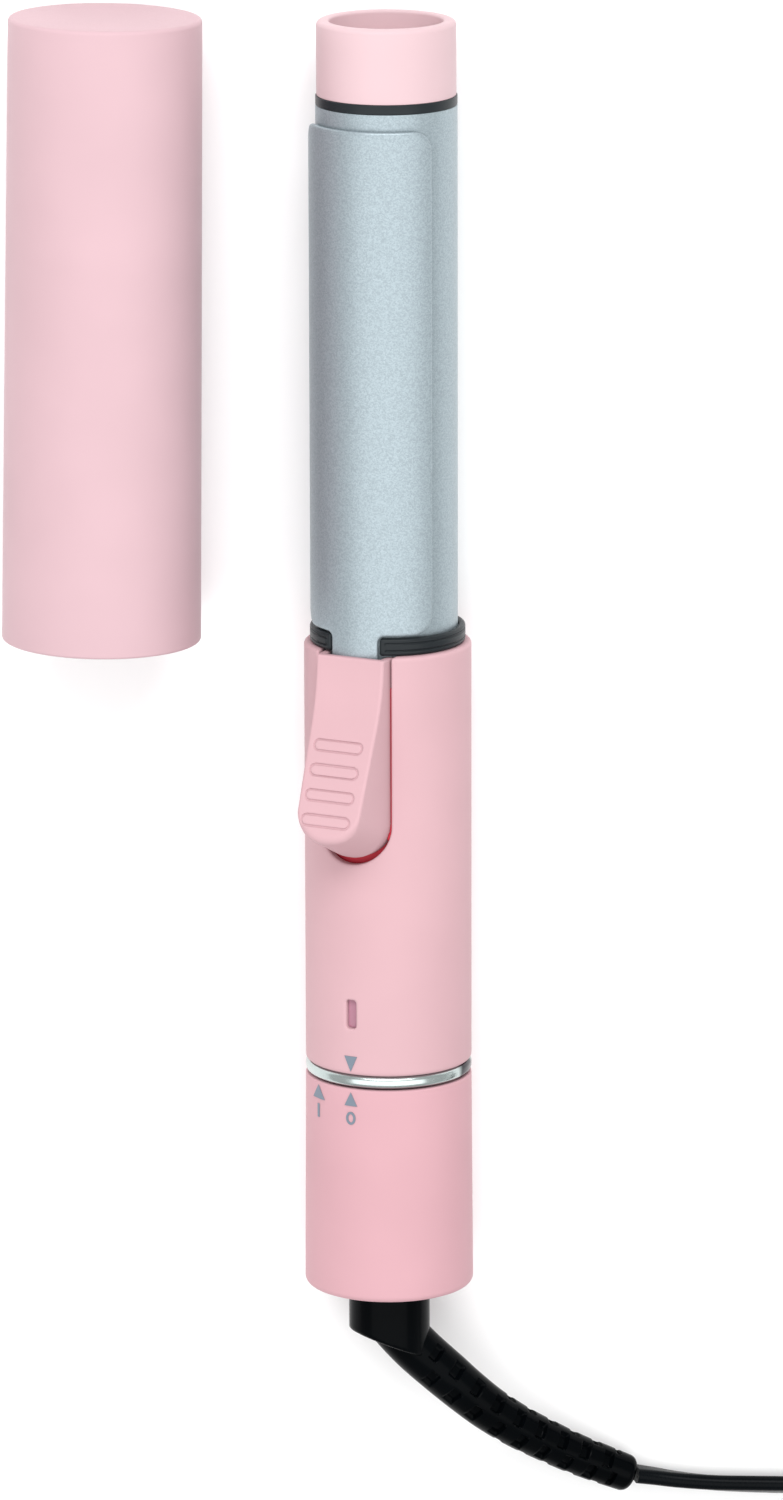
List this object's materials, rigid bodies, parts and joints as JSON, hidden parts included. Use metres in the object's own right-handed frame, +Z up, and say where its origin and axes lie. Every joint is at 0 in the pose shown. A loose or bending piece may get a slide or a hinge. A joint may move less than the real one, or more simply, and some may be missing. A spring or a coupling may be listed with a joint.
{
  "type": "curling iron",
  "caption": "Slim travel curling iron lying beside its barrel cover, with a spring clamp, thumb lever, twist switch and swivel cord ending in a plug.",
  "frame": {"origin": "on the surface the iron and its cover lie on, under the middle of their common outline, without the cord", "axes": "+Y along the iron towards its tip, +X from the cover to the cord side, +Z up"},
  "size_m": [0.2324, 0.2889, 0.0408],
  "materials": {
    "pink_satin": "satin, moulded",
    "tip_pink": "smooth satin",
    "cover_pink": "smooth satin",
    "indicator_lens": "clear tinted",
    "mark_grey": "printed ink",
    "chrome_trim": "polished",
    "black_gloss": "glossy",
    "silver_coat": "fine metallic coating",
    "dark_plastic": "moulded",
    "frame_plastic": "moulded",
    "steel": "plain",
    "heater_aluminium": "machined",
    "heater_brass": "plain",
    "pin_metal": "nickel plated",
    "board_green": "circuit board",
    "component_tan": "components",
    "led_red": "clear red",
    "cord_black": "smooth flexible",
    "tie_black": "woven strap"
  },
  "bodies": {
    "root": {"handle_shell": "pink_satin", "indicator_lens": "indicator_lens", "pointer_mark": "mark_grey", "chrome_ring": "chrome_trim", "heat_collar": "black_gloss", "barrel_tube": "silver_coat", "insulating_band": "black_gloss", "tip_cap": "tip_pink", "barrel_holder": "dark_plastic", "hinge_pin": "steel", "heat_spreaders": "heater_aluminium", "ptc_heater": "heater_brass", "heater_leads": "heater_brass", "thermal_fuse": "steel", "chassis": "frame_plastic", "chassis_screws": "steel", "circuit_board": "board_green", "board_screws": "steel", "board_components": "component_tan", "indicator_led": "led_red", "switch_housing": "dark_plastic", "contact_brushes": "heater_brass", "retaining_ring": "steel", "lever_spring": "steel", "cord_lead": "cord_black", "cord_coil": "cord_black", "cord_tie": "tie_black", "cord_tail": "cord_black", "plug_body": "cord_black", "plug_pins": "pin_metal"},
    "clamp": {"clamp_spoon": "silver_coat", "thumb_lever": "pink_satin", "clamp_rivets": "steel"},
    "twist": {"twist_sleeve": "pink_satin", "sleeve_marks": "mark_grey"},
    "switch": {"switch_slider": "frame_plastic"},
    "swivel": {"swivel_gland": "black_gloss", "swivel_spindle": "black_gloss", "slip_rings": "heater_brass", "strain_relief": "black_gloss"},
    "cover": {"barrel_cover": "cover_pink"}
  },
  "joints": [
    {"name": "lever_press", "type": "hinge", "parent": "root", "child": "clamp", "pos_m": [0.02389, -0.00834, 0.02337], "axis": [0.891, 0, 0.454], "range_deg": [0, 12], "stiffness_Nm_per_rad": 0.15, "springref_deg": -20.05, "deforming": ["lever_spring"]},
    {"name": "power_twist", "type": "hinge", "parent": "root", "child": "twist", "pos_m": [0.02775, -0.10034, 0.0158], "axis": [0, 1, 0], "range_deg": [0, 30]},
    {"name": "switch_slide", "type": "slide", "parent": "root", "child": "switch", "axis": [0.891, 0, 0.454], "range_m": [0, 0.00545]},
    {"name": "cord_swivel", "type": "hinge", "parent": "root", "child": "swivel", "pos_m": [0.02775, -0.12034, 0.0158], "axis": [0, -1, 0], "continuous": true},
    {"name": "cover_slide", "type": "slide", "parent": "root", "child": "cover", "axis": [0.0153, 0.9999, 0], "range_m": [0, 0.12]}
  ],
  "couplings": [
    {"joint": "switch_slide", "follows": "power_twist", "m_per_rad": 0.010337}
  ]
}
